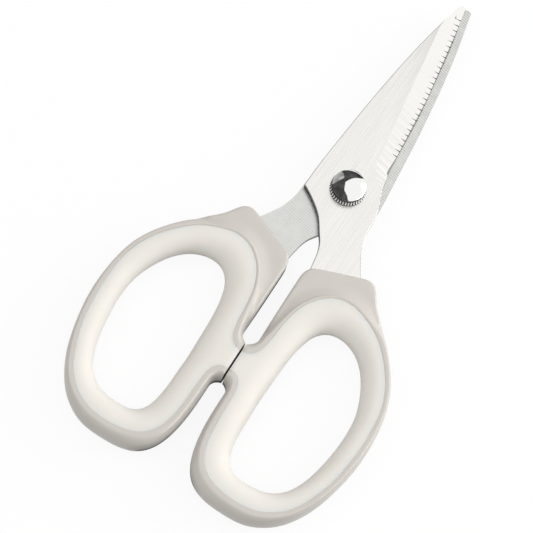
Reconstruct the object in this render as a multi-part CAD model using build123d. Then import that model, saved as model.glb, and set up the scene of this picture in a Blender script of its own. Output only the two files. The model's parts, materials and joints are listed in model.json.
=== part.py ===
from build123d import *
import os
from math import asin, atan2, cos, degrees, sin

# Kitchen shears: two steel blades on a pivot screw with a domed tension nut,
# and two moulded handles, each a hard shell round a soft finger grip.
# Millimetres. The shears lie closed and flat, tip towards +Y, nut on top.
# Each piece is drawn with the pivot axis at x = 0, y = 0 and the blades meeting at z = 0.

# Blades
blade_reach = 81.0
blade_half_width = 13.0
blade_thickness = 2.5
blade_clearance = 0.06
edge_land = 0.6
blade_chamfer = 0.25
tip_radius = 1.0

# Handles
neck_drop = 24.0
handle_length = 95.0
handle_width = 50.8
handle_gap = 5.8
stop_gap = 0.4
ring_height = 12.0
neck_height = 9.6
shoulder_radius = 2.2
neck_corner_radius = 3.6
stop_root_radius = 2.4
neck_rounding = 1.9
bead_width = 1.5
bead_rounding = 1.1
grip_rounding = 5.3
seam_chamfer = 0.25
rib_height = 4.0
rib_depth = 2.6
key_hole_diameter = 3.4

# Serrations of the front blade
tooth_count = 27
tooth_pitch = 2.17
tooth_depth = 0.9
tooth_width = 0.55
tip_to_first_tooth = 5.2

# Pivot
shank_diameter = 6.0
flat_distance = 4.8
thread_diameter = 5.0
running_clearance = 0.05
head_diameter = 11.0
head_height = 1.5
head_rounding = 0.7
slot_width = 1.2
slot_depth = 0.8
washer_diameter = 8.2
washer_thickness = 0.7
washer_bore_clearance = 0.15
washer_room = 0.3
nut_diameter = 12.7
nut_wall_height = 2.2
nut_shoulder_height = 1.2
nut_shoulder_width = 0.95
nut_dome_height = 2.2
nut_lift = 0.1
flute_count = 40
flute_depth = 0.35
flute_width = 0.6
thread_engagement = 3.6
thread_chamfer = 0.3

# One overrun for all cuts, and how near an edge lies to a height or place to be taken for it
overrun = 2.0
near_enough = 0.05

# Outline points. Handle points are shares of the width, outwards from the gap edge,
# and of the length, down from the top of the handle.
right_side_shares = ((0.506, 0.050), (0.577, 0.096), (0.673, 0.143), (0.782, 0.204), (0.876, 0.272),
                     (0.945, 0.346), (0.986, 0.438), (1.0, 0.542))
lower_right_shares = ((1.0, 0.542), (0.992, 0.618), (0.961, 0.711), (0.915, 0.798), (0.853, 0.867),
                      (0.782, 0.920), (0.679, 0.966), (0.571, 0.992), (0.400, 1.0))
lower_left_shares = ((0.400, 1.0), (0.278, 0.996), (0.158, 0.973), (0.084, 0.931), (0.035, 0.867),
                     (0.010, 0.792), (0.0, 0.690))
shoulder_shares = (0.445, -0.004)
neck_corner_share = 0.086
stop_top_share = 0.443
stop_top_reach_share = 0.419
stop_bottom_share = 0.599
stop_bottom_reach_share = 0.617

seam_upper_shares = ((-0.037, 0.484), (0.022, 0.469), (0.057, 0.429), (0.073, 0.361), (0.093, 0.280),
                     (0.142, 0.208), (0.217, 0.159), (0.300, 0.132), (0.386, 0.125))
seam_right_shares = ((0.386, 0.125), (0.512, 0.141), (0.642, 0.175), (0.760, 0.233), (0.858, 0.303),
                     (0.923, 0.384), (0.947, 0.471), (0.951, 0.532))
seam_lower_shares = ((0.951, 0.532), (0.941, 0.615), (0.917, 0.706), (0.868, 0.787), (0.799, 0.862),
                     (0.707, 0.914), (0.577, 0.949), (0.437, 0.958))
seam_left_shares = ((0.437, 0.958), (0.297, 0.949), (0.179, 0.920), (0.108, 0.867), (0.075, 0.793),
                    (0.065, 0.706), (0.061, 0.642), (0.046, 0.598), (0.010, 0.572), (-0.037, 0.564))
hole_shares = ((0.223, 0.632), (0.226, 0.705), (0.240, 0.780), (0.289, 0.842), (0.346, 0.862),
               (0.445, 0.868), (0.593, 0.855), (0.691, 0.815), (0.754, 0.752), (0.795, 0.665),
               (0.819, 0.532), (0.805, 0.449), (0.767, 0.386), (0.701, 0.320), (0.610, 0.267),
               (0.533, 0.244), (0.455, 0.235), (0.376, 0.241), (0.303, 0.273), (0.262, 0.323),
               (0.238, 0.392), (0.226, 0.514))

# Tang points inside the handle, on the same shares, and its two key holes.
buried_tang_shares = ((0.388, 0.047), (0.400, 0.097), (0.297, 0.113), (0.193, 0.143), (0.112, 0.196),
                      (0.085, 0.232), (0.035, 0.232), (0.035, 0.126))
key_hole_shares = ((0.104, 0.137), (0.287, 0.074))

# The most of the grip's wall, and of half its height, that its rounding may take
rounding_most_share = 0.9

# Blade points are shares of the half width and of the reach,
# and of the neck drop below the pivot.
spine_shares = ((-1.015, -0.086), (-0.977, 0.062), (-0.915, 0.173), (-0.800, 0.373), (-0.650, 0.578),
                (-0.438, 0.795), (-0.312, 0.894), (-0.168, 1.0))
edge_shares = ((0.010, 1.0), (0.054, 0.936), (0.123, 0.889), (0.250, 0.786), (0.358, 0.662),
               (0.458, 0.548), (0.546, 0.428), (0.600, 0.309), (0.654, 0.189), (0.748, 0.096))
heel_shares = ((0.825, 0.056), (0.930, 0.018), (1.016, -0.029), (1.054, -0.099))
tang_right_shares = ((1.077, -0.473), (1.138, -0.598), (1.208, -0.708), (1.323, -0.821),
                     (1.438, -0.929), (1.560, -1.030))
tang_left_shares = ((0.331, -1.354), (0.270, -1.135), (0.154, -0.919), (-0.015, -0.781),
                    (-0.227, -0.610), (-0.542, -0.452), (-0.900, -0.324))

# Bevel: where it starts on the flat, and the edge, at each station up the blade.
ramp_inner_shares = (0.385, 0.105)
ramp_outer_shares = (0.885, 0.049)
bevel_inner_shares = ((0.277, 0.160), (-0.062, 0.556), (-0.346, 0.889), (-0.470, 1.037))
bevel_edge_shares = ((0.673, 0.160), (0.454, 0.556), (0.123, 0.889), (-0.038, 1.037))
bevel_past_share = 0.3

# Places that follow from the sizes
ring_half = ring_height / 2
neck_half = neck_height / 2
front_face = blade_clearance / 2
front_top = front_face + blade_thickness
pivot_height = ring_half
nut_bottom = front_top + nut_lift
nut_counterbore = washer_thickness
middle_y = (neck_drop + handle_length - blade_reach) / 2
hole_widest_share = max(across for across, down in hole_shares)
grip_wall = (seam_right_shares[-1][0] - hole_widest_share) * handle_width
hole_rounding = min(grip_rounding, rounding_most_share * min(grip_wall, ring_half))
to_frame = Pos(0, middle_y, pivot_height)
turned_over = Rot(0, 180, 0)


def handle_point(shares):
    """A place on the front handle's plan."""
    across, down = shares
    return (handle_gap / 2 + across * handle_width, -neck_drop - down * handle_length)


def blade_point(shares):
    """A place on the front blade's plan, above the tang."""
    across, up = shares
    return (across * blade_half_width, up * blade_reach)


def tang_point(shares):
    """A place on the front tang's plan, between the pivot and the handle."""
    across, up = shares
    return (across * blade_half_width, up * neck_drop)


def curve(points, start, end):
    """A smooth line through the points, leaving and arriving in the given directions."""
    return Spline(*points, tangents=[start, end], tangent_scalars=[1, 1])


def slab(outline, low, high):
    """A flat plate of the outline's edges, from one height to another."""
    return Pos(0, 0, low) * extrude(make_face(outline), amount=high - low)


def upright_edges_near(body, place, reach):
    """The body's upright edges that stand near a place on the plan."""
    near = []
    for edge in body.edges().filter_by(Axis.Z):
        middle = edge.center()
        if abs(middle.X - place[0]) < reach and abs(middle.Y - place[1]) < reach:
            near.append(edge)
    return near


def level_edges(body, height):
    """The body's edges that lie wholly at one height."""
    level = []
    for edge in body.edges():
        box = edge.bounding_box()
        if abs(box.min.Z - height) < near_enough and abs(box.max.Z - height) < near_enough:
            level.append(edge)
    return level


def rim_edges(body, half):
    """The edges round a plate's two flat faces."""
    return level_edges(body, half) + level_edges(body, -half)


def beside(points, start, end, distance):
    """A spline through the points, or one that runs beside it, a distance to its left."""
    middle = curve(points, start, end)
    if not distance:
        return middle
    moved = []
    for step in range(len(points)):
        along = step / (len(points) - 1)
        heading = middle.tangent_at(along)
        moved.append(middle.position_at(along) + Vector(-heading.Y, heading.X) * distance)
    return curve(moved, start, end)


def seam_outline(outwards=0.0):
    """The line where the soft grip meets the hard shell, or one beside it, past the stop."""
    upper = [handle_point(shares) for shares in seam_upper_shares]
    right = [handle_point(shares) for shares in seam_right_shares]
    lower = [handle_point(shares) for shares in seam_lower_shares]
    left = [handle_point(shares) for shares in seam_left_shares]
    curves = [
        beside(upper, (1, 0), (1, 0), outwards),
        beside(right, (1, 0), (0, -1), outwards),
        beside(lower, (0, -1), (-1, 0), outwards),
        beside(left, (-1, 0), (-1, 0), outwards),
    ]
    first = curves[0] @ 0
    last = curves[-1] @ 1
    past = -2 * overrun
    top_end = Vector(past, first.Y)
    bottom_end = Vector(past, last.Y)
    return [Line(top_end, first), *curves, Line(last, bottom_end), Line(bottom_end, top_end)]


def hole_outline():
    """The finger hole at its narrowest, halfway through the handle."""
    return [Spline(*[handle_point(shares) for shares in hole_shares], periodic=True)]


def handle_outline():
    """The hard shell's outside seen from above, with sharp corners, past the stop."""
    gap_edge = handle_gap / 2
    neck_corner = handle_point((0, neck_corner_share))
    shoulder = handle_point(shoulder_shares)
    stop_top = handle_point((0, stop_top_reach_share))
    stop_bottom = handle_point((0, stop_bottom_reach_share))
    top_middle = handle_point((0, stop_top_share))[1]
    bottom_middle = handle_point((0, stop_bottom_share))[1]
    past = -overrun
    stop_top_end = (past, top_middle + (stop_top[1] - top_middle) / gap_edge * past)
    stop_bottom_end = (past, bottom_middle + (stop_bottom[1] - bottom_middle) / gap_edge * past)
    right_side = [handle_point(shares) for shares in right_side_shares]
    lower_right = [handle_point(shares) for shares in lower_right_shares]
    lower_left = [handle_point(shares) for shares in lower_left_shares]
    away = Vector(*right_side[0]) - Vector(*shoulder)
    return [
        Line(neck_corner, shoulder),
        Line(shoulder, right_side[0]),
        curve(right_side, away.normalized(), (0, -1)),
        curve(lower_right, (0, -1), (-1, 0)),
        curve(lower_left, (-1, 0), (0, 1)),
        Line(lower_left[-1], stop_bottom),
        Line(stop_bottom, stop_bottom_end),
        Line(stop_bottom_end, stop_top_end),
        Line(stop_top_end, stop_top),
        Line(stop_top, neck_corner),
    ]


def handle_body():
    """The handle as one body inside the hard shell's outside, with its stop past the middle."""
    body = slab(handle_outline(), -neck_half, neck_half)
    corners = (
        (handle_point(shoulder_shares), shoulder_radius),
        (handle_point((0, neck_corner_share)), neck_corner_radius),
        (handle_point((0, stop_top_reach_share)), stop_root_radius),
        (handle_point((0, stop_bottom_reach_share)), stop_root_radius),
    )
    for corner, radius in corners:
        body = fillet(upright_edges_near(body, corner, radius / 2), radius)
    body = fillet(rim_edges(body, neck_half), neck_rounding)
    rim = slab(seam_outline(bead_width), -ring_half, ring_half)
    rim = fillet(rim_edges(rim, ring_half), bead_rounding)
    return body + rim


def this_side():
    """The half space on the front handle's side of the stop faces."""
    size = 2 * (handle_length + handle_width)
    return Pos(stop_gap / 2 + size / 2, -size / 2, 0) * Box(size, size, ring_height + overrun)


def grip_rib():
    """The shell's rib that stands into the grip all round and keys it."""
    wide = slab(seam_outline(bead_width / 2), -rib_height / 2, rib_height / 2)
    return wide - slab(seam_outline(-rib_depth), -rib_height / 2, rib_height / 2)


def blade_outline():
    """The front blade seen from above, in one closed line, down to inside the handle."""
    spine = [blade_point(shares) for shares in spine_shares]
    edge = [blade_point(shares) for shares in edge_shares + heel_shares]
    right = [tang_point(shares) for shares in tang_right_shares]
    left = [tang_point(shares) for shares in tang_left_shares]
    right.append(handle_point(buried_tang_shares[0]))
    left.insert(0, handle_point(buried_tang_shares[-1]))
    return [
        Spline(*spine),
        Line(spine[-1], edge[0]),
        Spline(*edge, *right),
        Line(right[-1], left[0]),
        Spline(*left, spine[0]),
    ]


def buried_tang_outline():
    """The part of the tang that the handle is moulded round."""
    return [Polyline(*[handle_point(shares) for shares in buried_tang_shares], close=True)]


def bevel_section(inner, edge, depth_inner, depth_edge):
    """One cross-section of the ground-away bevel, from the flat out past the edge."""
    outer_x = edge[0] + (edge[0] - inner[0]) * bevel_past_share
    outer_y = edge[1] + (edge[1] - inner[1]) * bevel_past_share
    outer_depth = depth_edge + (depth_edge - depth_inner) * bevel_past_share
    top = front_top + overrun
    corners = (
        (inner[0], inner[1], front_top - depth_inner),
        (outer_x, outer_y, front_top - outer_depth),
        (outer_x, outer_y, top),
        (inner[0], inner[1], top),
    )
    return Wire(Polyline(*corners, close=True).edges())


def bevel_cut():
    """What grinding takes off the outer face, from the ramp at the heel to past the tip."""
    above = -blade_chamfer / 2
    ramp_inner = blade_point(ramp_inner_shares)
    sections = [bevel_section(ramp_inner, blade_point(ramp_outer_shares), above, above)]
    for inner, edge in zip(bevel_inner_shares, bevel_edge_shares):
        depth = blade_thickness - edge_land
        sections.append(bevel_section(blade_point(inner), blade_point(edge), 0, depth))
    return Solid.make_loft(sections, ruled=True)


def serration():
    """The notches across the front blade's edge, one after another down from the tip."""
    edge = Spline(*[blade_point(shares) for shares in edge_shares])
    notch = Polyline((-tooth_width / 2, 0), (0, -tooth_depth), (tooth_width / 2, 0),
                     (tooth_width / 2, overrun), (-tooth_width / 2, overrun), close=True)
    cutter = extrude(make_face(notch), amount=front_top + overrun)
    notches = []
    for number in range(tooth_count):
        along = (tip_to_first_tooth + number * tooth_pitch) / edge.length
        place = edge @ along
        heading = edge % along
        turn = degrees(atan2(heading.Y, heading.X))
        notches.append(Pos(place.X, place.Y, 0) * Rot(0, 0, turn) * cutter)
    return notches


def blade_blank():
    """A ground blade with its tang, without its pivot hole."""
    blank = slab(blade_outline(), front_face, front_top)
    for shares in (spine_shares[-1], edge_shares[0]):
        blank = fillet(upright_edges_near(blank, blade_point(shares), tip_radius / 2), tip_radius)
    blank = chamfer(level_edges(blank, front_top), blade_chamfer)
    blank += slab(buried_tang_outline(), front_face, front_top)
    for shares in key_hole_shares:
        across, along = handle_point(shares)
        blank -= Pos(across, along, 0) * Cylinder(key_hole_diameter / 2, 2 * front_top + overrun)
    return blank - bevel_cut()


def upright(profile, low, high):
    """A section round the pivot axis, from one height to another."""
    return Pos(0, 0, low) * extrude(profile, amount=high - low)


def keyed_section(clearance):
    """The pivot screw's shank across its two flats, which key it in the front blade."""
    return Circle(shank_diameter / 2 + clearance) & Rectangle(head_diameter, flat_distance + 2 * clearance)


def front_blade(blank):
    """The upper blade, serrated, with the hole that holds the screw by its flats."""
    return blank - [upright(keyed_section(0), -overrun, front_top + overrun), *serration()]


def rear_blade(blank):
    """The lower blade: the same blank turned over, plain edged, turning on the round shank."""
    bore = Circle(shank_diameter / 2 + running_clearance)
    return turned_over * (blank - upright(bore, -overrun, front_top + overrun))


def handle_shell(blank, rib):
    """The front handle's hard shell, moulded over the tang, with its rib inside the grip."""
    shell = handle_body() - slab(seam_outline(), -ring_height, ring_height)
    shell = (shell + rib) & this_side()
    return shell - blank


def round_the_hole(edges):
    """The edges that lie within the finger hole's outline, seen from above."""
    hole = hole_outline()[0].bounding_box()
    inside = []
    for edge in edges:
        box = edge.bounding_box()
        across = box.min.X > hole.min.X - near_enough and box.max.X < hole.max.X + near_enough
        along = box.min.Y > hole.min.Y - near_enough and box.max.Y < hole.max.Y + near_enough
        if across and along:
            inside.append(edge)
    return inside


def finger_grip(rib):
    """The front handle's soft grip: the ring between the shell and the finger hole."""
    grip = slab(seam_outline(), -ring_half, ring_half)
    grip = chamfer(rim_edges(grip, ring_half), seam_chamfer)
    grip -= slab(hole_outline(), -ring_height, ring_height)
    grip = fillet(round_the_hole(rim_edges(grip, ring_half)), hole_rounding)
    return (grip - rib) & this_side()


def pivot_screw():
    """The screw from below: slotted head, round shank, two flats and the nut's thread."""
    head_top = -front_top - running_clearance
    head = Pos(0, 0, head_top - head_height) * extrude(Circle(head_diameter / 2), amount=head_height)
    head = fillet(level_edges(head, head_top - head_height), head_rounding)
    slot_bottom = head_top - head_height + slot_depth
    slot = Pos(0, 0, slot_bottom - slot_depth) * Box(head_diameter + overrun, slot_width, 2 * slot_depth)
    shank = upright(Circle(shank_diameter / 2), head_top, front_face)
    keyed = upright(keyed_section(0), front_face, front_top)
    thread_top = nut_bottom + nut_counterbore + thread_engagement
    thread = upright(Circle(thread_diameter / 2), front_top, thread_top)
    thread = chamfer(level_edges(thread, thread_top), thread_chamfer)
    return head - slot + shank + keyed + thread


def spring_washer():
    """The washer hidden in the nut's underside, which keeps the blades pressed together."""
    ring = Circle(washer_diameter / 2) - Circle(thread_diameter / 2 + washer_bore_clearance)
    return upright(ring, front_top, front_top + washer_thickness)


def tension_nut():
    """The domed nut: a fluted wall and shoulder below a smooth cap, blind tapped from below."""
    wall = nut_diameter / 2
    cap = wall - nut_shoulder_width
    shoulder = nut_wall_height + nut_shoulder_height
    top = shoulder + nut_dome_height
    profile = [
        Line((0, 0), (wall, 0)),
        Line((wall, 0), (wall, nut_wall_height)),
        Line((wall, nut_wall_height), (cap, shoulder)),
        ThreePointArc((cap, shoulder), dome_point(cap, shoulder, top), (0, top)),
        Line((0, top), (0, 0)),
    ]
    nut = revolve(Rot(90, 0, 0) * make_face(profile), Axis.Z)
    flute = Polyline((0, -flute_width / 2), (-flute_depth, 0), (0, flute_width / 2),
                     (overrun, flute_width / 2), (overrun, -flute_width / 2), close=True)
    groove = extrude(make_face(flute), amount=shoulder)
    counterbore = upright(Circle(washer_diameter / 2 + washer_room), 0, nut_counterbore)
    bore = Circle(thread_diameter / 2 + running_clearance)
    thread = upright(bore, 0, nut_counterbore + thread_engagement + washer_room)
    flutes = [place * groove for place in PolarLocations(wall, flute_count)]
    return Pos(0, 0, nut_bottom) * (nut - [counterbore, thread, *flutes])


def dome_point(cap, shoulder, top):
    """A place halfway up the cap's arc, which is level at the top."""
    radius = (cap ** 2 + (top - shoulder) ** 2) / (2 * (top - shoulder))
    half_angle = asin(cap / radius) / 2
    return (radius * sin(half_angle), top - radius + radius * cos(half_angle))


def main():
    """Write every piece in its own file, in the shears' frame."""
    blank = blade_blank()
    rib = grip_rib()
    shell = handle_shell(blank, rib)
    grip = finger_grip(rib)
    pieces = {
        "front_blade": front_blade(blank),
        "rear_blade": rear_blade(blank),
        "front_handle_shell": shell,
        "rear_handle_shell": turned_over * shell,
        "front_finger_grip": grip,
        "rear_finger_grip": turned_over * grip,
        "pivot_screw": pivot_screw(),
        "spring_washer": spring_washer(),
        "tension_nut": tension_nut(),
    }
    os.makedirs("parts", exist_ok=True)
    for name, piece in pieces.items():
        export_step(to_frame * piece, f"parts/{name}.step")
        print(name, len(piece.solids()), "solid,", round(piece.volume), "mm3")


main()
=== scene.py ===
import bmesh
import bpy
import json
import math
from mathutils import Matrix, Vector
from mathutils.bvhtree import BVHTree
from mathutils.geometry import interpolate_bezier, intersect_line_line_2d


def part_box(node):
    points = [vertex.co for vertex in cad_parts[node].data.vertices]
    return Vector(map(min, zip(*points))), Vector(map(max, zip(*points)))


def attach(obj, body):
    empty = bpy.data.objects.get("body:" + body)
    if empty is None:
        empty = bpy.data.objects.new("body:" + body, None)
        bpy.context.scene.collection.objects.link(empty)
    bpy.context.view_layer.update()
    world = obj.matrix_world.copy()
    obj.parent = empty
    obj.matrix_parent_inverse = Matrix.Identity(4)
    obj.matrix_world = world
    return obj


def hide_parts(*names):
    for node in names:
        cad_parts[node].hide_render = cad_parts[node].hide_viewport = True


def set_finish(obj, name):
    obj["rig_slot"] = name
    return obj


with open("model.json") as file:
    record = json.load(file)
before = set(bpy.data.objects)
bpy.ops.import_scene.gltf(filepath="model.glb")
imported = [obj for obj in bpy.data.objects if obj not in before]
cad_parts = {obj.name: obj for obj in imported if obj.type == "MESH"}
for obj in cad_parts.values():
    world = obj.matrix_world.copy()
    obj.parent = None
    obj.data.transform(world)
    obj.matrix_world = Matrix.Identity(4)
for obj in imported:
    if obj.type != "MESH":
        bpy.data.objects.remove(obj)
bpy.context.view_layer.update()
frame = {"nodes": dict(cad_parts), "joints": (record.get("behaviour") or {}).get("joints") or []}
mm = 0.001
pivot = Vector(frame["joints"][0]["pos_m"]) / mm
print("frame loaded:", len(frame["nodes"]), "pieces")


# outlines, all in millimetres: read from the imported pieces, so that nothing drifts from them

def sliceOutlines(nodeName, height):
    # the closed outlines where a level plane cuts a piece, the longest first
    bm = bmesh.new()
    bm.from_mesh(frame["nodes"][nodeName].data)
    bmesh.ops.scale(bm, vec=Vector((1, 1, 1)) / mm, verts=bm.verts)
    bmesh.ops.remove_doubles(bm, verts=bm.verts, dist=0.001)
    everything = bm.verts[:] + bm.edges[:] + bm.faces[:]
    bmesh.ops.bisect_plane(bm, geom=everything, plane_co=(0, 0, height), plane_no=(0, 0, 1),
                           clear_inner=True, clear_outer=True)
    outlines = []
    waiting = dict.fromkeys(bm.verts)   # a dictionary keeps their order, so that each run starts alike
    while waiting:
        vert = next(iter(waiting))
        del waiting[vert]
        outline = [vert.co.xy.copy()]
        onward = True
        while onward:
            onward = [edge.other_vert(vert) for edge in vert.link_edges if edge.other_vert(vert) in waiting]
            if onward:
                vert = onward[0]
                del waiting[vert]
                outline.append(vert.co.xy.copy())
        outlines.append(outline)
    bm.free()
    return sorted(outlines, key=lengthOf, reverse=True)


def lengthOf(line):
    return sum((b - a).length for a, b in zip(line, line[1:]))


def evenly(line, count):
    # the same line with its points evenly spaced
    total = lengthOf(line)
    even = [line[0].copy()]
    walked = 0
    for a, b in zip(line, line[1:]):
        span = (b - a).length
        while span > 0 and len(even) < count - 1 and walked + span >= total * len(even) / (count - 1):
            share = (total * len(even) / (count - 1) - walked) / span
            even.append(a.lerp(b, share))
        walked += span
    even.append(line[-1].copy())
    return even


def calmed(values, passes, closed=False):
    # neighbouring values averaged a few times; an open line keeps its two ends
    for _ in range(passes):
        before = values[-1:] + values[:-1]
        after = values[1:] + values[:1]
        middle = [(a + 2 * v + b) / 4 for a, v, b in zip(before, values, after)]
        values = middle if closed else values[:1] + middle[1:-1] + values[-1:]
    return values


def leftNormals(line, reach, closed=False):
    # unit normals to the left of the heading, taken over a few points each way
    count = len(line)
    normals = []
    for i in range(count):
        a = line[(i - reach) % count] if closed else line[max(i - reach, 0)]
        b = line[(i + reach) % count] if closed else line[min(i + reach, count - 1)]
        heading = (b - a).normalized()
        normals.append(Vector((-heading.y, heading.x)))
    return [normal.normalized() for normal in calmed(normals, reach, closed)]


def distanceTo(outline, start, direction, least=0.2, most=60):
    # how far a ray goes from a start before it meets the outline
    far = start + direction * most
    near = []
    for a, b in zip(outline, outline[1:] + outline[:1]):
        hit = intersect_line_line_2d(start, far, a, b)
        if hit and (hit - start).length > least:
            near.append((hit - start).length)
    return min(near)


def stopToStop(outline, within=0.02):
    # an outline opened at the stop: from its upper corner there, round the finger hole, to the lower
    face = min(point.x for point in outline) + within
    corner = max((i for i, point in enumerate(outline) if point.x < face), key=lambda i: outline[i].y)
    turned = outline[corner:] + outline[:corner]
    if turned[1].x < face:
        turned = turned[:1] + turned[:0:-1]
    end = next(i for i, point in enumerate(turned) if i and point.x < face)
    return turned[:end + 1]


def smoothStep(low, high, value):
    share = min(max((value - low) / (high - low), 0), 1)
    return share * share * (3 - 2 * share)


def curvePoints(a, b, c, d, count):
    # points along one Bezier span, without its first
    return interpolate_bezier(Vector(a), Vector(b), Vector(c), Vector(d), count + 1)[1:]


def straight(a, b, count):
    return curvePoints(a, a, b, b, count)


# mesh helpers

def newLine(bm, places, closed=False):
    # a line of vertices; each remembers its station, so that an extruded copy knows its own
    station = bm.verts.layers.int.get("station") or bm.verts.layers.int.new("station")
    verts = [bm.verts.new(place) for place in places]
    for i, vert in enumerate(verts):
        vert[station] = i
    edges = [bm.edges.new(pair) for pair in zip(verts, verts[1:])]
    if closed:
        edges.append(bm.edges.new((verts[-1], verts[0])))
    return edges


def extrudeLine(bm, edges, places):
    # the line's next position along the surface
    station = bm.verts.layers.int.get("station")
    grown = bmesh.ops.extrude_edge_only(bm, edges=edges)["geom"]
    for vert in grown:
        if isinstance(vert, bmesh.types.BMVert):
            vert.co = places[vert[station]]
    return [edge for edge in grown if isinstance(edge, bmesh.types.BMEdge)
            and all(vert.co == places[vert[station]] for vert in edge.verts)]


def finishMesh(bm, name, body, slotName, material, replaced, sharpAngle=35):
    # millimetres to metres, normals out, and the piece on its body
    bmesh.ops.remove_doubles(bm, verts=bm.verts, dist=0.0005)
    bmesh.ops.recalc_face_normals(bm, faces=bm.faces)
    bmesh.ops.scale(bm, vec=Vector((mm, mm, mm)), verts=bm.verts)
    mesh = bpy.data.meshes.new(name)
    bm.to_mesh(mesh)
    bm.free()
    mesh.polygons.foreach_set("use_smooth", [True] * len(mesh.polygons))
    mesh.set_sharp_from_angle(angle=math.radians(sharpAngle))
    return placePiece(mesh, name, body, slotName, material, replaced)


def placePiece(mesh, name, body, slotName, material, replaced):
    piece = bpy.data.objects.new(name, mesh)
    bpy.context.scene.collection.objects.link(piece)
    mesh.materials.clear()
    mesh.materials.append(material)
    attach(piece, body)
    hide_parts(replaced)
    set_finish(piece, slotName)
    return piece


def turnedOver(piece, name, body, replaced):
    # the rear half's piece: the front one turned over about the long axis through the pivot
    mesh = piece.data.copy()
    mesh.name = name
    centre = Matrix.Translation(pivot * mm)
    mesh.transform(centre @ Matrix.Rotation(math.pi, 4, "Y") @ centre.inverted())
    return placePiece(mesh, name, body, piece["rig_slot"], piece.data.materials[0], replaced)


def cutAtStop(bm):
    # the flat stop face, and the top and bottom eased down towards it after a few cuts beside it
    everything = bm.verts[:] + bm.edges[:] + bm.faces[:]
    bmesh.ops.bisect_plane(bm, geom=everything, plane_co=(stopFace, 0, 0), plane_no=(1, 0, 0),
                           clear_inner=True)
    bmesh.ops.holes_fill(bm, edges=[edge for edge in bm.edges if edge.is_boundary])
    steps, width = handle["stopSteps"], handle["stopEase"]
    for step in range(1, steps + 1):
        everything = bm.verts[:] + bm.edges[:] + bm.faces[:]
        bmesh.ops.bisect_plane(bm, geom=everything, plane_co=(stopFace + width * step / steps, 0, 0),
                               plane_no=(1, 0, 0))
    for vert in bm.verts:
        near = max(1 - (vert.co.x - stopFace) / width, 0)
        level = vert.co.z - pivot.z
        most = halfHeight - handle["stopDrop"] * near ** 2
        vert.co.z = pivot.z + math.copysign(min(abs(level), most), level)


# node helpers

def give(tree, node, inputs):
    # fills a node's inputs, each with a number, a colour or another node's output
    for key, value in inputs:
        if isinstance(value, bpy.types.NodeSocket):
            tree.links.new(value, node.inputs[key])
        else:
            node.inputs[key].default_value = value


def put(tree, kind, inputs=(), **settings):
    # a new node with its settings and its inputs
    node = tree.nodes.new("ShaderNode" + kind)
    for name, value in settings.items():
        setattr(node, name, value)
    give(tree, node, inputs)
    return node


def calc(tree, operation, a, b=0.0):
    return put(tree, "Math", ((0, a), (1, b)), operation=operation).outputs[0]


def remap(tree, value, fromLow, fromHigh, toLow=0, toHigh=1):
    ends = ("From Min", fromLow), ("From Max", fromHigh), ("To Min", toLow), ("To Max", toHigh)
    return put(tree, "MapRange", (("Value", value), *ends)).outputs[0]


def blend(tree, share, a, b):
    return put(tree, "Mix", ((0, share), (6, a), (7, b)), data_type="RGBA").outputs[2]


def split(tree, vector):
    return put(tree, "SeparateXYZ", ((0, vector),)).outputs


def noise(tree, vector, scale, detail, spread, roughness=0.5):
    # cloudy noise; this spread either side of its middle becomes 0 to 1
    inputs = ("Vector", vector), ("Scale", scale), ("Detail", detail), ("Roughness", roughness)
    return remap(tree, put(tree, "TexNoise", inputs).outputs["Fac"], 0.5 - spread, 0.5 + spread)


def newGroup(name, inputs, outputs):
    # an effect for several materials, returned with what it is given and the node for its results
    group = bpy.data.node_groups.new(name, "ShaderNodeTree")
    for way, sockets in (("INPUT", inputs), ("OUTPUT", outputs)):
        for label, kind in sockets.items():
            group.interface.new_socket(label, in_out=way, socket_type="NodeSocket" + kind)
    return group, group.nodes.new("NodeGroupInput").outputs, group.nodes.new("NodeGroupOutput")


def newMaterial(name):
    material = bpy.data.materials.new(name)
    material.use_nodes = True
    tree = material.node_tree
    return material, tree, tree.nodes["Principled BSDF"], put(tree, "TexCoord").outputs


# textures, each a group that several materials use; scales are to the metre

texture = {
    "lineStretch": 0.03,    # brushed lines change this much slower along than across
    "broadLines": 0.35,     # broad lines to each fine one
    "fineRoughness": 0.6,
    "waveRepeat": math.tau / 20,   # one band of the wave texture at scale 1
    "ruledWander": 1.2,     # unsteadiness of the ruled lines,
    "ruledRipple": 0.6,     # the scale of its ripples,
    "ruledPatches": 420.0,  # and of the patches where they are fainter,
    "ruledFaintest": 0.45,  # down to this
    "clouds": 55.0,         # a moulded skin's slow cloudiness
    "grains": 2600.0,       # and its fine grain
}


def grindGroup():
    # brushed streaks along local X, a fine and a broad set
    group, given, result = newGroup("grindLines", {"Vector": "Vector", "Pitch": "Float"},
                                    {"Fine": "Float", "Broad": "Float"})
    slower = texture["lineStretch"], 1, texture["lineStretch"]
    flat = put(group, "VectorMath", ((0, given["Vector"]), (1, slower)), operation="MULTIPLY").outputs[0]
    scale = calc(group, "DIVIDE", 1.0, given["Pitch"])
    wide = calc(group, "MULTIPLY", scale, texture["broadLines"])
    give(group, result, (("Fine", noise(group, flat, scale, 3.0, 0.25, texture["fineRoughness"])),
                         ("Broad", noise(group, flat, wide, 1.0, 0.1))))
    return group


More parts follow.
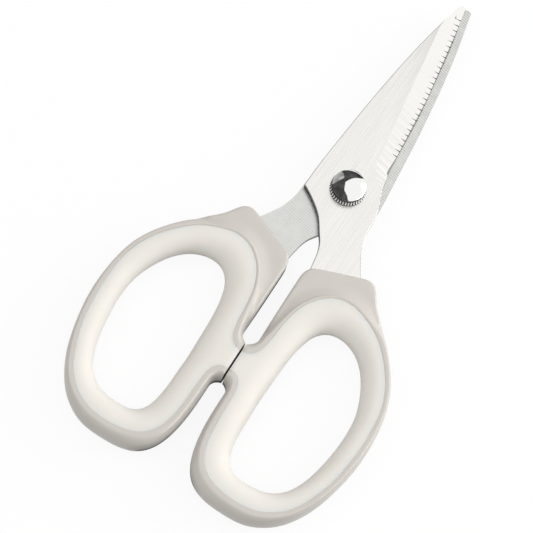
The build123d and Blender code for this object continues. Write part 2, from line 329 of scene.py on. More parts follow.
def ruledGroup():
    # the even lines of a surface grinder along local X, a little unsteady
    group, given, result = newGroup("ruledLines", {"Vector": "Vector", "Pitch": "Float"}, {"Lines": "Float"})
    scale = calc(group, "DIVIDE", texture["waveRepeat"], given["Pitch"])
    inputs = (("Vector", given["Vector"]), ("Scale", scale), ("Distortion", texture["ruledWander"]),
              ("Detail", 2.0), ("Detail Scale", texture["ruledRipple"]))
    lines = put(group, "TexWave", inputs, bands_direction="Y").outputs["Fac"]
    patches = noise(group, given["Vector"], texture["ruledPatches"], 2.0, 0.2)
    depth = remap(group, patches, 0, 1, texture["ruledFaintest"], 1)
    give(group, result, (("Lines", calc(group, "MULTIPLY", lines, depth)),))
    return group


def mouldedGroup():
    # the skin of a moulded piece: a slow cloudiness and a fine grain
    group, given, result = newGroup("mouldedSkin", {"Vector": "Vector"},
                                    {"Cloud": "Float", "Grain": "Float"})
    give(group, result, (("Cloud", noise(group, given["Vector"], texture["clouds"], 2.0, 0.2)),
                         ("Grain", noise(group, given["Vector"], texture["grains"], 2.0, 0.2))))
    return group


grindLines = grindGroup()
ruledLines = ruledGroup()
mouldedSkin = mouldedGroup()


def linesAlong(tree, lines, vector, turn, pitch):
    # a group of lines, turned this far round from local X, in radians
    turned = put(tree, "CombineXYZ", ((2, turn),)).outputs[0]
    turned = put(tree, "Mapping", (("Vector", vector), ("Rotation", turned))).outputs[0]
    return put(tree, "Group", (("Vector", turned), ("Pitch", pitch)), node_tree=lines).outputs


# plastics

plastic = {
    "shellPlastic": {
        "light": (0.628, 0.594, 0.549, 1),
        "dark": (0.606, 0.573, 0.528, 1),
        "roughness": (0.32, 0.4),
        "gloss": 0.35,
        "grainHeight": 0.00004,
        "depth": (),
    },
    "gripRubber": {
        "light": (0.838, 0.806, 0.755, 1),
        "dark": (0.812, 0.78, 0.728, 1),
        "roughness": (0.64, 0.72),
        "gloss": 0.3,
        "grainHeight": 0.00003,
        "depth": (("Subsurface Weight", 0.45), ("Subsurface Radius", (0.0035, 0.0026, 0.002)),
                  ("Subsurface Scale", 1.0)),
    },
}
gap = {
    "stopAside": (0.0008, 0.0006),     # the stop faces are this near the middle line,
    "stopFacing": (0.9, 0.95),         # and face it this squarely
    "slotAside": (0.015, 0.010),       # the slots' walls are this near it,
    "slotHeight": (0.0102, 0.0055),    # and get painted shade from here down
    "slotShadeColour": (0.13, 0.113, 0.098, 1),
    "slotMost": 0.85,                  # by this share,
    "slotPower": 1.8,                  # and lose their gloss by this power of how dark they are
}


def gapGroup():
    # where the two handles meet: their dull stop faces, and the slots' walls, which get painted shade
    group, given, result = newGroup("betweenHandles", {"Vector": "Vector", "Normal": "Vector"},
                                    {"Stop": "Float", "Slot": "Float"})
    place = split(group, given["Vector"])
    aside = calc(group, "ABSOLUTE", place["X"])
    facing = calc(group, "ABSOLUTE", split(group, given["Normal"])["X"])
    stop = calc(group, "MULTIPLY", remap(group, aside, *gap["stopAside"]),
                remap(group, facing, *gap["stopFacing"]))
    slot = calc(group, "MULTIPLY", remap(group, aside, *gap["slotAside"]),
                remap(group, place["Z"], *gap["slotHeight"]))
    give(group, result, (("Stop", stop), ("Slot", slot)))
    return group


betweenHandles = gapGroup()


def plasticMaterial(name):
    look = plastic[name]
    material, tree, shader, where = newMaterial(name)
    skin = put(tree, "Group", (("Vector", where["Object"]),), node_tree=mouldedSkin).outputs
    between = put(tree, "Group", (("Vector", where["Object"]), ("Normal", where["Normal"])),
                  node_tree=betweenHandles).outputs
    colour = blend(tree, skin["Cloud"], look["dark"], look["light"])
    # painted shade on the slots' walls, darker towards the bottom
    shade = calc(tree, "MULTIPLY", between["Slot"], gap["slotMost"])
    colour = blend(tree, shade, colour, gap["slotShadeColour"])
    rough = remap(tree, skin["Grain"], 0, 1, *look["roughness"])
    dull = calc(tree, "POWER", between["Slot"], gap["slotPower"])
    dull = calc(tree, "MAXIMUM", dull, between["Stop"])
    inputs = ("Height", skin["Grain"]), ("Distance", look["grainHeight"]), ("Strength", 0.5)
    bump = put(tree, "Bump", inputs).outputs[0]
    give(tree, shader, (("Base Color", colour), ("Roughness", calc(tree, "MAXIMUM", rough, dull)),
                        ("Normal", bump), ("Specular IOR Level", look["gloss"]), *look["depth"]))
    return material


# blade steel

steel = {
    "roughness": (0.25, 0.34),              # of the outer face, and of the inner face and the sides
    "innerFacing": (-0.9, -0.95),           # the faces are told apart by how squarely they look outwards
    "flatFacing": (0.965, 0.985),
    "cutFacing": (0.85, 0.6),
    "notchFacing": (0.915, 0.885),
    "bright": (0.965, 0.95, 0.915, 1),      # the outer face, brushed along the blade
    "dull": (0.84, 0.827, 0.792, 1),
    "brushed": math.radians(88),            # which way the lines run
    "brushedPitch": 0.00034,
    "broadShare": 0.12,
    "shaded": (0.72, 0.71, 0.675, 1),       # it darkens in streaks towards the tip
    "shadedOver": (0.045, 0.105),
    "bevelBright": (0.93, 0.918, 0.885, 1),
    "bevelDull": (0.77, 0.76, 0.727, 1),
    "bevelSlope": math.radians(-4),
    "bevelPitch": 0.00045,
    "bevelFine": 0.12,
    "bandsOver": (0.03, 0.062),             # its broad grinding bands fade out between these,
    "bandsDepth": (0.7, 0.1),               # from the first strength to the second
    "paintedEdgeShadow": (0.33, 0.322, 0.315, 1),       # painted shadow: a dark band along the cutting edge,
    "edgeShadowOver": (0.0335, 0.0395),          # narrower past the heel:
    "edgeShadowBelow": (0.00088, 0.00071),       # up to this far from the middle plane
    "edgeShadowBlur": 0.00003,
    "notch": (0.2, 0.195, 0.19, 1),         # painted shade in the notches' grooves
    "notchBelow": (0.0015, 0.0014),
    "notchPast": (0.0335, 0.0345),
    "innerBright": (0.84, 0.84, 0.815, 1),  # the inner face, ruled across
    "innerDull": (0.53, 0.53, 0.51, 1),
    "innerSlope": math.radians(-12),
    "innerPitch": 0.00083,
    "ruledOver": (0.012, 0.03),             # the lines are fainter on the tang
    "ruledDepth": (0.55, 1),
    "cut": (0.09, 0.088, 0.084, 1),         # painted shade on the stamped and filed sides
}


def bladeGroup():
    # ground steel whose outer face looks up (Outer 1) or down (Outer -1): its colour, and where it is dull
    inputs = {"Vector": "Vector", "Normal": "Vector", "Outer": "Float"}
    group, given, result = newGroup("groundBlade", inputs, {"Color": "Color", "Dull": "Float"})
    place, outer = given["Vector"], given["Outer"]
    sides = split(group, place)
    facing = split(group, given["Normal"])["Z"]
    outward = calc(group, "MULTIPLY", facing, outer)
    upright = calc(group, "ABSOLUTE", facing)
    level = calc(group, "MULTIPLY", calc(group, "SUBTRACT", sides["Z"], pivot.z * mm), outer)

    along = linesAlong(group, grindLines, place, -steel["brushed"], steel["brushedPitch"])
    streaks = blend(group, steel["broadShare"], along["Fine"], along["Broad"])
    face = blend(group, streaks, steel["dull"], steel["bright"])
    shade = calc(group, "MULTIPLY", remap(group, sides["Y"], *steel["shadedOver"]), along["Broad"])
    face = blend(group, shade, face, steel["shaded"])

    slope = calc(group, "MULTIPLY", outer, -steel["bevelSlope"])
    across = linesAlong(group, grindLines, place, slope, steel["bevelPitch"])
    bands = calc(group, "MULTIPLY", across["Broad"],
                 remap(group, sides["Y"], *steel["bandsOver"], *steel["bandsDepth"]))
    fine = calc(group, "MULTIPLY", across["Fine"], steel["bevelFine"])
    bevel = blend(group, calc(group, "MAXIMUM", bands, fine), steel["bevelBright"], steel["bevelDull"])
    # painted shadow in a dark band along the cutting edge
    edgeShadowTop = remap(group, sides["Y"], *steel["edgeShadowOver"], *steel["edgeShadowBelow"])
    paintedEdgeShadow = remap(group, calc(group, "SUBTRACT", edgeShadowTop, level), 0, steel["edgeShadowBlur"])
    bevel = blend(group, paintedEdgeShadow, bevel, steel["paintedEdgeShadow"])

    ruled = linesAlong(group, ruledLines, place, -steel["innerSlope"], steel["innerPitch"])
    ruling = calc(group, "MULTIPLY", ruled["Lines"],
                  remap(group, sides["Y"], *steel["ruledOver"], *steel["ruledDepth"]))
    inside = blend(group, ruling, steel["innerBright"], steel["innerDull"])

    # painted shade in the notches' grooves
    notched = calc(group, "MULTIPLY", remap(group, upright, *steel["notchFacing"]),
                   remap(group, level, *steel["notchBelow"]))
    notched = calc(group, "MULTIPLY", notched, remap(group, sides["Y"], *steel["notchPast"]))
    inner = remap(group, outward, *steel["innerFacing"])
    # painted shade on the stamped and filed sides
    cut = remap(group, upright, *steel["cutFacing"])
    colour = blend(group, remap(group, outward, *steel["flatFacing"]), bevel, face)
    colour = blend(group, inner, colour, inside)
    colour = blend(group, notched, colour, steel["notch"])
    colour = blend(group, cut, colour, steel["cut"])
    give(group, result, (("Color", colour), ("Dull", calc(group, "MAXIMUM", inner, cut))))
    return group


groundBlade = bladeGroup()


def bladeMaterial(name, outer):
    material, tree, shader, where = newMaterial(name)
    inputs = ("Vector", where["Object"]), ("Normal", where["Normal"]), ("Outer", outer)
    ground = put(tree, "Group", inputs, node_tree=groundBlade).outputs
    rough = remap(tree, ground["Dull"], 0, 1, *steel["roughness"])
    give(tree, shader, (("Base Color", ground["Color"]), ("Roughness", rough), ("Metallic", 1.0)))
    return material


# turned metal

turned = {   # bright, dull and the two ends of the roughness
    "nutChrome": ((0.93, 0.93, 0.92, 1), (0.89, 0.89, 0.88, 1), (0.05, 0.09)),
    "screwSteel": ((0.82, 0.82, 0.81, 1), (0.62, 0.62, 0.61, 1), (0.22, 0.32)),
}
ringPitch = 0.00012
flutes = 40   # round the nut's foot
knurl = {
    "ringFrom": (0.00577, 0.00581),         # painted shade in a ring under the dome's edge starts at this radius,
    "grooveFrom": (0.00602, 0.00592),       # and the grooves between the flutes at this one
    "grooveWave": (-0.2, 0.2),
    "grooveShade": (0.01, 0.01, 0.01, 1),
    "footBelow": (0.00305, 0.00295),        # painted shadow on the foot, by its height over the middle plane
    "footShade": (0.06, 0.06, 0.058, 1),
    "gloss": 0.1,
    "metal": 0.1,                           # the worn ridges catch light from all round
}


def turnedGroup():
    # fine rings round the pivot, and how far out each place is
    group, given, result = newGroup("turnedRings", {"Vector": "Vector"},
                                    {"Fine": "Float", "Broad": "Float", "Away": "Float"})
    sides = split(group, given["Vector"])
    offset = put(group, "CombineXYZ", ((0, calc(group, "SUBTRACT", sides["X"], pivot.x * mm)),
                                       (1, calc(group, "SUBTRACT", sides["Y"], pivot.y * mm)))).outputs[0]
    away = put(group, "VectorMath", ((0, offset),), operation="LENGTH").outputs["Value"]
    ring = put(group, "CombineXYZ", ((1, away),)).outputs[0]
    lines = put(group, "Group", (("Vector", ring), ("Pitch", ringPitch)), node_tree=grindLines).outputs
    give(group, result, (("Fine", lines["Fine"]), ("Broad", lines["Broad"]), ("Away", away)))
    return group


turnedRings = turnedGroup()


def turnedMaterial(name, knurled=False):
    bright, dull, roughness = turned[name]
    material, tree, shader, where = newMaterial(name)
    rings = put(tree, "Group", (("Vector", where["Object"]),), node_tree=turnedRings).outputs
    rough = remap(tree, rings["Broad"], 0, 1, *roughness)
    colour = blend(tree, rings["Fine"], dull, bright)
    give(tree, shader, (("Base Color", colour), ("Roughness", rough), ("Metallic", 1.0)))
    if knurled:
        addKnurl(tree, shader, where["Object"], rings["Away"], colour)
    return material


def addKnurl(tree, shader, place, away, colour):
    # painted shade in the grooves between the flutes and in a ring under the dome's edge, and a painted
    # shadow on the foot
    place = put(tree, "VectorMath", ((0, place), (1, tuple(pivot * mm))), operation="SUBTRACT").outputs[0]
    sides = split(tree, place)
    turn = calc(tree, "ARCTAN2", sides["Y"], sides["X"])
    wave = calc(tree, "COSINE", calc(tree, "MULTIPLY", turn, flutes))
    # painted shade in the grooves and in a ring under the dome's edge
    deep = calc(tree, "MAXIMUM", remap(tree, wave, *knurl["grooveWave"]),
                remap(tree, away, *knurl["grooveFrom"]))
    ring = remap(tree, away, *knurl["ringFrom"])
    colour = blend(tree, calc(tree, "MULTIPLY", deep, ring), colour, knurl["grooveShade"])
    # painted shadow on the foot
    colour = blend(tree, remap(tree, sides["Z"], *knurl["footBelow"]), colour, knurl["footShade"])
    metal = remap(tree, ring, 0, 1, 1, knurl["metal"])
    give(tree, shader, (("Base Color", colour), ("Metallic", metal), ("Specular IOR Level", knurl["gloss"])))


shellPlastic = plasticMaterial("shellPlastic")
gripRubber = plasticMaterial("gripRubber")
frontSteel = bladeMaterial("frontSteel", 1)
rearSteel = bladeMaterial("rearSteel", -1)
nutChrome = turnedMaterial("nutChrome", knurled=True)
screwSteel = turnedMaterial("screwSteel")
print("materials made")


# handles: the lines that both the shell and the grip follow

handle = {
    "stations": 420,       # along the seam
    "seamGap": 0.003,      # half the hairline between shell and grip
    "seamDepth": (0.05, 0.24),   # of the shallow groove along it, on the rim and on the neck
    "seamBend": (0.3, 0.5),      # and how soon its side rises and levels out
    "seamSteps": 5,
    "seamPasses": 5,       # of smoothing
    "normalReach": 3,
    "stopBack": 0.16,      # how much more the stop faces stand apart than the solids' do
    "stopEase": 1.8,       # how far from the stop face the top starts to ease down
    "stopSteps": 8,
    "stopDrop": 0.35,      # and how far down it comes
    "seamSlice": 4.0,      # above the middle, clear of the rib inside
    "middleSlice": -0.1,   # beside the middle, where the two faces of the moulding meet
}
shellLow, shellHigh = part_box("front_handle_shell")
halfHeight = (shellHigh.z - shellLow.z) / 2 / mm
stopFace = shellLow.x / mm + handle["stopBack"]
seam = stopToStop(sliceOutlines("front_finger_grip", pivot.z + handle["seamSlice"])[0])
seam = calmed(evenly(seam, handle["stations"]), handle["seamPasses"])
seamOut = leftNormals(seam, handle["normalReach"])
seamOut[0], seamOut[-1] = Vector((0, 1)), Vector((0, -1))
print("seam:", round(lengthOf(seam)), "mm")


# hard shell

shell = {
    "seamSide": 0.45,          # width of its side of the seam's groove
    "flatBand": 1.35,          # level strip beside the seam, of the width at most this share:
    "flatShare": 0.5,
    "topFullness": 0.5,        # how far the rim's top runs on level before it turns down
    "sideFullness": 0.62,      # how high the side wall stays upright, of half the height
    "beadTop": 0.8,            # on the neck the strip becomes a bead, level this far
    "beadAcross": 1.35,        # and this wide in all, where its short steep side ends
    "beadDrop": 0.5,
    "beadTurn": 0.35,          # how softly its side starts, and how it ends
    "beadFoot": (0.12, 0.14),
    "slopeAcross": 5.8,        # from the seam to where the slope beside the bead runs out
    "slopeFall": 0.42,         # how far it falls at first, straight on from the bead's side
    "slopeBend": (0.3, 0.6),
    "edgeStrip": 0.2,          # least level strip between the slope and the rounded edge
    "neckHeight": 4.45,        # half the neck's thickness
    "neckRounding": 1.1,       # of the neck's long edges
    "endRounding": 0.6,        # of its end, where the blade comes out
    "endFacing": (-0.36, 0.93),
    "endWithin": (0.75, 0.97),
    "roundness": 0.45,         # of a rounding's curve: about a quarter circle
    "steps": (3, 4, 10, 2, 4, 2),   # strip, bead, slope, level, rounding and side
    "widthPasses": 8,          # of smoothing
    "rimReach": 2,
    "rimWidth": 2.7,           # a rim this narrow has no bead
    "neckWidth": 4.6,          # and one this wide has all of it,
    "neckFrom": -46.5,         # but only from here up the handle,
    "neckFull": -38.0,         # in full from here
}


def rimSection(width):
    # half a cross-section of the plain rim, outwards from the seam, as across and up
    h, w, band = halfHeight, width, min(shell["flatBand"], shell["flatShare"] * width)
    strip, *others = shell["steps"]
    points = seamEdge(shell["seamSide"], 0)
    points += straight(points[-1], (band, h), strip)
    turn = band + shell["topFullness"] * (w - band)
    return points + curvePoints((band, h), (turn, h), (w, shell["sideFullness"] * h), (w, 0), sum(others))


def neckSection(width, edge):
    # the same on the neck: the bead, the slope down from it, and the rounded edge
    h, w, top, foot = halfHeight, width, shell["beadTop"], shell["beadAcross"]
    step, low = h - shell["beadDrop"], shell["neckHeight"]
    out = min(shell["slopeAcross"], width - edge - shell["edgeStrip"])
    inward, upward = shell["beadFoot"]
    early, late = (foot + share * (out - foot) for share in shell["slopeBend"])
    soft = shell["roundness"] * edge
    strip, bead, slope, level, rounding, side = shell["steps"]
    points = seamEdge(shell["seamSide"], 1)
    points += straight(points[-1], (top, h), strip)
    turn, end = (top + shell["beadTurn"], h), (foot - inward, step + upward)
    points += curvePoints((top, h), turn, end, (foot, step), bead)
    points += curvePoints((foot, step), (early, step - shell["slopeFall"]), (late, low), (out, low), slope)
    points += straight((out, low), (w - edge, low), level)
    points += curvePoints((w - edge, low), (w - soft, low), (w, low - soft), (w, low - edge), rounding)
    return points + straight((w, low - edge), (w, 0), side)


def neckShare(point):
    return smoothStep(shell["neckFrom"], shell["neckFull"], point.y)


def seamEdge(width, onNeck):
    # the edge beside the seam, from inside the hairline up one side of the groove
    shallow, deep = handle["seamDepth"]
    half, low, h = handle["seamGap"], halfHeight - shallow - (deep - shallow) * onNeck, halfHeight
    rise, top = (half + share * width for share in handle["seamBend"])
    points = [Vector((half, low - width)), Vector((half, low))]
    return points + curvePoints((half, low), (rise, low), (top, h), (half + width, h), handle["seamSteps"])


def buildShell():
    outline = sliceOutlines("front_handle_shell", pivot.z + handle["middleSlice"])[0]
    inset = Vector((0.01, 0))   # off the stop face, which the two end rays would run along
    starts = [seam[0] + inset] + seam[1:-1] + [seam[-1] + inset]
    widths = [distanceTo(outline, start, out) for start, out in zip(starts, seamOut)]
    widths = calmed(widths, shell["widthPasses"])
    rim = [point + out * width for point, out, width in zip(seam, seamOut, widths)]
    facing = leftNormals(rim, shell["rimReach"])
    sections = []
    for point, width, out in zip(seam, widths, facing):
        atEnd = smoothStep(*shell["endWithin"], out.dot(Vector(shell["endFacing"])))
        edge = shell["neckRounding"] + atEnd * (shell["endRounding"] - shell["neckRounding"])
        share = smoothStep(shell["rimWidth"], shell["neckWidth"], width) * neckShare(point)
        half = [a.lerp(b, share) for a, b in zip(rimSection(width), neckSection(width, edge))]
        sections.append(half + [Vector((p.x, -p.y)) for p in half[-2::-1]])

    def place(row):
        return [Vector((*(point + out * section[row].x), pivot.z + section[row].y))
                for point, out, section in zip(seam, seamOut, sections)]

    bm = bmesh.new()
    first = newLine(bm, place(0))
    edges = first
    for row in range(1, len(sections[0])):
        edges = extrudeLine(bm, edges, place(row))
    bmesh.ops.bridge_loops(bm, edges=first + edges)
    cutAtStop(bm)
    return finishMesh(bm, "frontShell", "front_half", "shell_plastic", shellPlastic, "front_handle_shell")


frontShell = buildShell()
rearShell = turnedOver(frontShell, "rearShell", "rear_half", "rear_handle_shell")
print("shells:", len(frontShell.data.polygons), "faces each")


# soft grip

grip = {
    "seamSide": 0.12,        # width of its side of the seam's groove
    "strip": 0.36,           # the flat top starts this far from the seam
    "stations": 320,         # round the finger hole
    "roundingShare": 0.8,    # of the width between seam and hole that the rounding takes
    "roundingMost": 8.0,
    "fullness": 2.15,        # 2 would be an ellipse
    "roundingSteps": 14,
    "roundingPasses": 25,    # of smoothing
    "pastStop": 1.5,         # built this far past the stop face, then cut there
}


def buildGrip():
    hole = sliceOutlines("front_finger_grip", pivot.z + handle["middleSlice"])[-1]
    hole = evenly(hole + hole[:1], grip["stations"] + 1)[:-1]
    holeOut = leftNormals(hole, handle["normalReach"], closed=True)
    centre = sum(hole, Vector((0, 0))) / len(hole)
    if holeOut[0].dot(hole[0] - centre) < 0:
        holeOut = [-out for out in holeOut]
    reach = [grip["roundingShare"] * distanceTo(seam, start, out) for start, out in zip(hole, holeOut)]
    reach = [min(value, grip["roundingMost"]) for value in reach]
    reach = calmed(reach, grip["roundingPasses"], closed=True)

    past = stopFace - grip["pastStop"]
    outer = [Vector((past, seam[0].y))] + seam + [Vector((past, seam[-1].y))]
    outerOut = seamOut[:1] + seamOut + seamOut[-1:]
    sections = []
    for point in outer:
        edge = [Vector((grip["strip"], halfHeight))]
        edge += seamEdge(grip["seamSide"], neckShare(point))[::-1]
        sections.append(edge + [Vector((p.x, -p.y)) for p in edge[::-1]])

    def outerPlace(row):
        return [Vector((*(point - out * section[row].x), pivot.z + section[row].y))
                for point, out, section in zip(outer, outerOut, sections)]

    def holePlace(turn):
        power = 2 / grip["fullness"]
        away = 1 - math.sin(turn) ** power
        level = math.copysign(abs(math.cos(turn)) ** power, math.cos(turn))
        return [Vector((*(point + out * r * away), pivot.z + halfHeight * level))
                for point, out, r in zip(hole, holeOut, reach)]

    bm = bmesh.new()
    outerTop = edges = newLine(bm, outerPlace(0), closed=True)
    for row in range(1, len(sections[0])):
        edges = extrudeLine(bm, edges, outerPlace(row))
    outerBottom = edges
    steps = 2 * grip["roundingSteps"]
    holeTop = edges = newLine(bm, holePlace(0), closed=True)
    for step in range(1, steps + 1):
        edges = extrudeLine(bm, edges, holePlace(math.pi * step / steps))
    bmesh.ops.triangle_fill(bm, edges=outerTop + holeTop, use_beauty=True, normal=(0, 0, 1))
    bmesh.ops.triangle_fill(bm, edges=outerBottom + edges, use_beauty=True, normal=(0, 0, -1))
    cutAtStop(bm)
    return finishMesh(bm, "frontGrip", "front_half", "grip_rubber", gripRubber, "front_finger_grip")


frontGrip = buildGrip()
rearGrip = turnedOver(frontGrip, "rearGrip", "rear_half", "rear_finger_grip")
print("grips:", len(frontGrip.data.polygons), "faces each")


# tension nut

nut = {
    "wall": 6.35,           # radius of its knurled foot
    "wallHeight": 0.5,
    "cap": 5.6,             # radius of the dome where the fluted skirt ends
    "domeRadius": 8.1,
    "steepest": 32.0,       # the dome runs straight on from this slope, in degrees
    "domeSteps": 24,
    "edgeRounding": 0.25,
    "edgeSteps": 3,
    "edgeSoftness": 0.4,    # of its lower edge,
    "shoulderLean": 0.6,    # and how far the wall's top leans in, both as shares of the rounding
    "rimWidth": 0.18,       # of the narrow bright bevel under the dome's edge
    "rimDrop": 0.16,
    "counterbore": 4.4,
    "counterboreDepth": 0.7,
    "bore": 2.55,
    "boreDepth": 4.6,
    "stepsToFlute": 8,
    "fluteDepth": 0.22,
    "fluteRunIn": 0.2,      # from the dome's bevel to where the flutes are full
    "sharpAngle": 12,
    "fluteShares": (1, 0.5, 0, 0, 0, 0, 0, 0.5),
}


def buildNut():
    low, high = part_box("tension_nut")
    base, top = low.z / mm, (high.z - low.z) / mm
    r, wall, cap = nut["edgeRounding"], nut["wall"], nut["cap"]
    profile = [(nut["bore"], nut["boreDepth"]), (nut["bore"], nut["counterboreDepth"]),
               (nut["counterbore"], nut["counterboreDepth"]), (nut["counterbore"], 0), (wall - r, 0)]
    soft, corner = nut["edgeSoftness"] * r, (wall, nut["wallHeight"])
    profile += curvePoints(profile[-1], (wall - soft, 0), (wall, soft), (wall, r), nut["edgeSteps"])
    profile += [(wall, corner[1] - r)]
    inward = (wall - nut["shoulderLean"] * r, corner[1] + r)
    profile += curvePoints(profile[-1], corner, corner, inward, nut["edgeSteps"])
    radius, steepest, steps = nut["domeRadius"], math.radians(nut["steepest"]), nut["domeSteps"]
    straightOn = (cap - radius * math.sin(steepest)) * math.tan(steepest)
    shoulder = top - radius * (1 - math.cos(steepest)) - straightOn
    profile += [(cap + nut["rimWidth"], shoulder - nut["rimDrop"]), (cap, shoulder)]
    for step in range(steps + 1):
        turn = steepest * (1 - step / steps)
        profile.append((radius * math.sin(turn), top - radius + radius * math.cos(turn)))
    bm = bmesh.new()
    verts = [bm.verts.new((across, 0, up)) for across, up in [(0, nut["boreDepth"])] + profile]
    edges = [bm.edges.new(pair) for pair in zip(verts, verts[1:])]
    around = flutes * nut["stepsToFlute"]
    bmesh.ops.spin(bm, geom=verts + edges, cent=(0, 0, 0), axis=(0, 0, 1), angle=math.tau,
                   steps=around, use_merge=True)
    bmesh.ops.remove_doubles(bm, verts=bm.verts, dist=0.0001)
    for vert in bm.verts:
        across = vert.co.xy.length
        past = across - cap - nut["rimWidth"]
        if past > 0.01:
            step = round(math.atan2(vert.co.y, vert.co.x) / math.tau * around)
            share = min(past / nut["fluteRunIn"], 1) * nut["fluteShares"][step % nut["stepsToFlute"]]
            vert.co.xy *= 1 - nut["fluteDepth"] * share / across
    bmesh.ops.translate(bm, vec=(pivot.x, pivot.y, base), verts=bm.verts)
    return finishMesh(bm, "domedNut", "nut", "nut_chrome", nutChrome, "tension_nut", nut["sharpAngle"])


domedNut = buildNut()
print("nut:", len(domedNut.data.polygons), "faces")


# serrated blade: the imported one, with each notch's groove ground on up the bevel

groove = {
    "sharpest": 50,         # a notch's root is a corner sharper than this, in degrees
    "pastRoot": 1.3,        # the groove runs out this far up the bevel,
    "beforeRoot": 1.5,      # and starts well outside the edge
    "width": 0.56,          # there, where it is also this deep
    "depth": 0.34,
    "slice": 0.3,           # where the notches are found, above the inner face
    "merge": 0.003,         # what the cut leaves nearer together than this is merged,
    "flatWithin": 0.5,      # and faces are joined that lie this level, in degrees
    "sharpAngle": 8,
}


def notchRoots():
    # every notch's root and the way on from it
    outline = sliceOutlines("front_blade", pivot.z + groove["slice"])[0]
    roots = []
    for before, root, after in zip(outline[-1:] + outline, outline, outline[1:] + outline[:1]):
        sides = (before - root).normalized(), (after - root).normalized()
        if math.degrees(sides[0].angle(sides[1])) < groove["sharpest"]:
            roots.append((root, -(sides[0] + sides[1]).normalized()))
    return roots


def carved(bm, cutters):
    # the first mesh with the second cut out of it
    pair = []
    for name, part in (("whole", bm), ("cutters", cutters)):
        mesh = bpy.data.meshes.new(name)
        part.to_mesh(mesh)
        part.free()
        pair.append(bpy.data.objects.new(name, mesh))
        bpy.context.scene.collection.objects.link(pair[-1])
    cut = pair[0].modifiers.new("cut", "BOOLEAN")
    cut.operation, cut.solver, cut.object = "DIFFERENCE", "EXACT", pair[1]
    result = bmesh.new()
    result.from_object(pair[0], bpy.context.evaluated_depsgraph_get())
    for used in pair:
        bpy.data.objects.remove(used)
    return result


def buildBlade():
    bm = bmesh.new()
    bm.from_mesh(frame["nodes"]["front_blade"].data)
    bmesh.ops.scale(bm, vec=Vector((1, 1, 1)) / mm, verts=bm.verts)
    bmesh.ops.remove_doubles(bm, verts=bm.verts, dist=0.001)
    surface = BVHTree.FromBMesh(bm)
    cutters = bmesh.new()
    roots = notchRoots()
    past, before, depth = groove["pastRoot"], groove["beforeRoot"], groove["depth"]
    for root, onward in roots:
        tip, beyond, base = (root + onward * reach for reach in (past, 2 * past, -before))
        low, high = (surface.ray_cast(Vector((*place, 2 * pivot.z)), Vector((0, 0, -1)))[0].z
                     for place in (tip, beyond))
        level = low - (high - low) / past * (past + before)   # the bevel's plane, run on out to the base
        side = Vector((-onward.y, onward.x)) * groove["width"]
        corners = [(*tip, low), (*(base + side), level + depth), (*(base - side), level + depth),
                   (*base, level - depth)]
        bmesh.ops.convex_hull(cutters, input=[cutters.verts.new(corner) for corner in corners])
    print("notches:", len(roots))
    whole = carved(bm, cutters)
    bmesh.ops.remove_doubles(whole, verts=whole.verts, dist=groove["merge"])
    bmesh.ops.dissolve_degenerate(whole, edges=whole.edges, dist=groove["merge"])
    bmesh.ops.dissolve_limit(whole, angle_limit=math.radians(groove["flatWithin"]), verts=whole.verts,
                             edges=whole.edges)
    return finishMesh(whole, "serratedBlade", "front_half", "blade_steel", frontSteel, "front_blade",
                      groove["sharpAngle"])


serratedBlade = buildBlade()
print("serrated blade:", len(serratedBlade.data.polygons), "faces")


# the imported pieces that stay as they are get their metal

dressed = {"rear_blade": rearSteel, "pivot_screw": screwSteel, "spring_washer": screwSteel}
for nodeName, material in dressed.items():
    data = frame["nodes"][nodeName].data
    data.materials.clear()
    data.materials.append(material)
print("packed pieces dressed:", len(dressed))


# studio

studio = {
    "floorSize": 3.0,
    "floorColour": 0.95,
    "floorGlow": 0.9,          # share of plain white in what the camera sees of the floor
    "floorBounce": 0.46,       # its grey as matt surfaces meet it
    "skyLight": 0.87,          # what reaches matt surfaces from overhead
    "horizonLight": 0.27,      # and from low down all round
    "lampDistance": 1.3,
    "cardDistance": 1.5,
    "cardClouds": 1.6,
    "cardUneven": (0.6, 1.5),
}
white = (1, 1, 1, 1)
# lamps: which way they stand across the table, degrees above it, size and power
lamps = {
    "keyBox": ((0.76, 0.65), 18.5, 1.0, 14.5),
    "fillBox": ((-0.75, -0.66), 55.0, 1.0, 3.0),
}
# cards that only shiny surfaces see, by their corners' directions from the shears and their brightness
cards = {
    "leftCard": (((-0.41, 0.24, 0.88), (-0.16, -0.37, 0.91), (0.63, -0.68, 0.38), (0.20, -0.88, 0.42),
                  (-0.25, -0.86, 0.44), (-0.70, -0.64, 0.28), (-1.0, -0.1, 0.0), (-0.92, -0.13, 0.36),
                  (-0.60, 0.48, 0.64)), 0.06),
    "backCard": (((-0.41, 0.24, 0.88), (-0.60, 0.48, 0.64), (-0.66, 0.70, 0.25), (-0.70, 0.72, 0.0),
                  (0.34, 0.94, -0.02)), 0.06),
    "greyCard": (((-0.60, 0.48, 0.64), (-0.92, -0.13, 0.36), (-1.0, -0.1, 0.0), (-0.70, 0.72, 0.0),
                  (-0.66, 0.70, 0.25)), 0.4),
    "glowCard": (((0.55, 0.83, 0.04), (0.52, 0.78, 0.36), (0.86, 0.39, 0.36), (0.90, -0.25, 0.36),
                  (0.96, -0.27, 0.04), (0.91, 0.41, 0.04)), 6.0),
}


def seenRays(tree):
    # 1 for camera, glossy and transmission rays
    path = put(tree, "LightPath").outputs
    both = calc(tree, "MAXIMUM", path["Is Camera Ray"], path["Is Glossy Ray"])
    return calc(tree, "MAXIMUM", both, path["Is Transmission Ray"])


def studioPiece(bm, name):
    # a piece of the studio, with an empty material to fill
    mesh = bpy.data.meshes.new(name)
    bm.to_mesh(mesh)
    bm.free()
    piece = bpy.data.objects.new(name, mesh)
    bpy.context.scene.collection.objects.link(piece)
    material = bpy.data.materials.new(name)
    material.use_nodes = True
    material.node_tree.nodes.clear()
    mesh.materials.append(material)
    return piece, material.node_tree


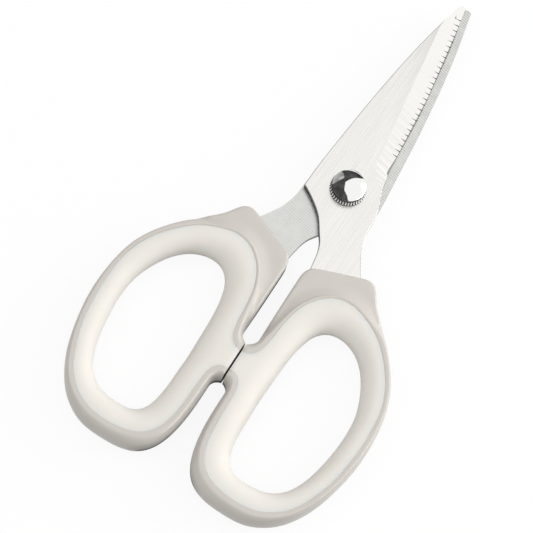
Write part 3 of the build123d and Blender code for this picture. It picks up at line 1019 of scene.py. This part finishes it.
def buildFloor():
    bm = bmesh.new()
    bmesh.ops.create_grid(bm, x_segments=1, y_segments=1, size=studio["floorSize"])
    tree = studioPiece(bm, "floor")[1]
    seen = seenRays(tree)
    colour = remap(tree, seen, 0, 1, studio["floorBounce"], studio["floorColour"])
    matt = put(tree, "BsdfDiffuse", (("Color", colour),)).outputs[0]
    glow = put(tree, "Emission", (("Color", white),)).outputs[0]
    share = calc(tree, "MULTIPLY", seen, studio["floorGlow"])
    mix = put(tree, "MixShader", ((0, share), (1, matt), (2, glow))).outputs[0]
    put(tree, "OutputMaterial", (("Surface", mix),))


def unevenGroup():
    # the soft unevenness of a lit or dark card
    group, given, result = newGroup("unevenCard", {"Vector": "Vector"}, {"Color": "Color"})
    cloud = noise(group, given["Vector"], studio["cardClouds"], 1.0, 0.15)
    give(group, result, (("Color", remap(group, cloud, 0, 1, *studio["cardUneven"])),))
    return group


unevenCard = unevenGroup()


def buildCard(name, corners, brightness):
    bm = bmesh.new()
    verts = [bm.verts.new(Vector(corner).normalized() * studio["cardDistance"]) for corner in corners]
    bmesh.ops.contextual_create(bm, geom=verts)
    card, tree = studioPiece(bm, name)
    place = put(tree, "TexCoord").outputs["Object"]
    colour = put(tree, "Group", (("Vector", place),), node_tree=unevenCard).outputs["Color"]
    glow = put(tree, "Emission", (("Color", colour), ("Strength", brightness))).outputs[0]
    put(tree, "OutputMaterial", (("Surface", glow),))
    card.visible_camera = card.visible_diffuse = card.visible_shadow = False


def buildWorld():
    # plain white to what is seen, and to matt surfaces brighter overhead than low down
    world = bpy.data.worlds.new("studioWorld")
    bpy.context.scene.world = world
    world.use_nodes = True
    tree = world.node_tree
    height = split(tree, put(tree, "TexCoord").outputs["Generated"])["Z"]
    light = remap(tree, height, 0, 1, studio["horizonLight"], studio["skyLight"])
    level = remap(tree, seenRays(tree), 0, 1, light, 1)
    give(tree, tree.nodes["Background"], (("Color", white), ("Strength", level)))


def buildLamp(name, across, height, size, power):
    lamp = bpy.data.lights.new(name, "AREA")
    lamp.size = size
    lamp.energy = power
    box = bpy.data.objects.new(name, lamp)
    bpy.context.scene.collection.objects.link(box)
    rise = math.radians(height)
    away = Vector((*(Vector(across).normalized() * math.cos(rise)), math.sin(rise)))
    box.location = away * studio["lampDistance"]
    box.visible_glossy = False
    box.rotation_euler = (-away).to_track_quat("-Z", "Y").to_euler()


view = {
    "aim": (-8.8, -19.4, 6.0),  # the place on the shears at the picture's centre
    "turn": 14.64,              # the camera's place round from the handles' end, towards the front half
    "height": 71.38,            # and this far above the table, in degrees
    "pictureTurn": 31.78,       # the shears' own turn in the picture
    "distance": 1016.0,
    "lens": 202.6,
    "sensor": 36.0,
}


def buildCamera():
    turn, height, roll = (math.radians(view[k]) for k in ("turn", "height", "pictureTurn"))
    back = Vector((math.sin(turn) * math.cos(height), -math.cos(turn) * math.cos(height), math.sin(height)))
    up = Vector((-math.sin(roll), math.cos(roll), 0))
    right = up.cross(back).normalized()
    up = back.cross(right)
    camera = bpy.data.objects.new("camera", bpy.data.cameras.new("camera"))
    camera.data.lens = view["lens"]
    camera.data.sensor_width = view["sensor"]
    place = (Vector(view["aim"]) + back * view["distance"]) * mm
    camera.matrix_world = Matrix.Translation(place) @ Matrix((right, up, back)).transposed().to_4x4()
    bpy.context.scene.collection.objects.link(camera)
    bpy.context.scene.camera = camera


buildFloor()
for name, (corners, shade) in cards.items():
    buildCard(name, corners, shade)
buildWorld()
for name, values in lamps.items():
    buildLamp(name, *values)
buildCamera()
print("studio built")
bpy.context.scene.view_settings.view_transform = "Standard"
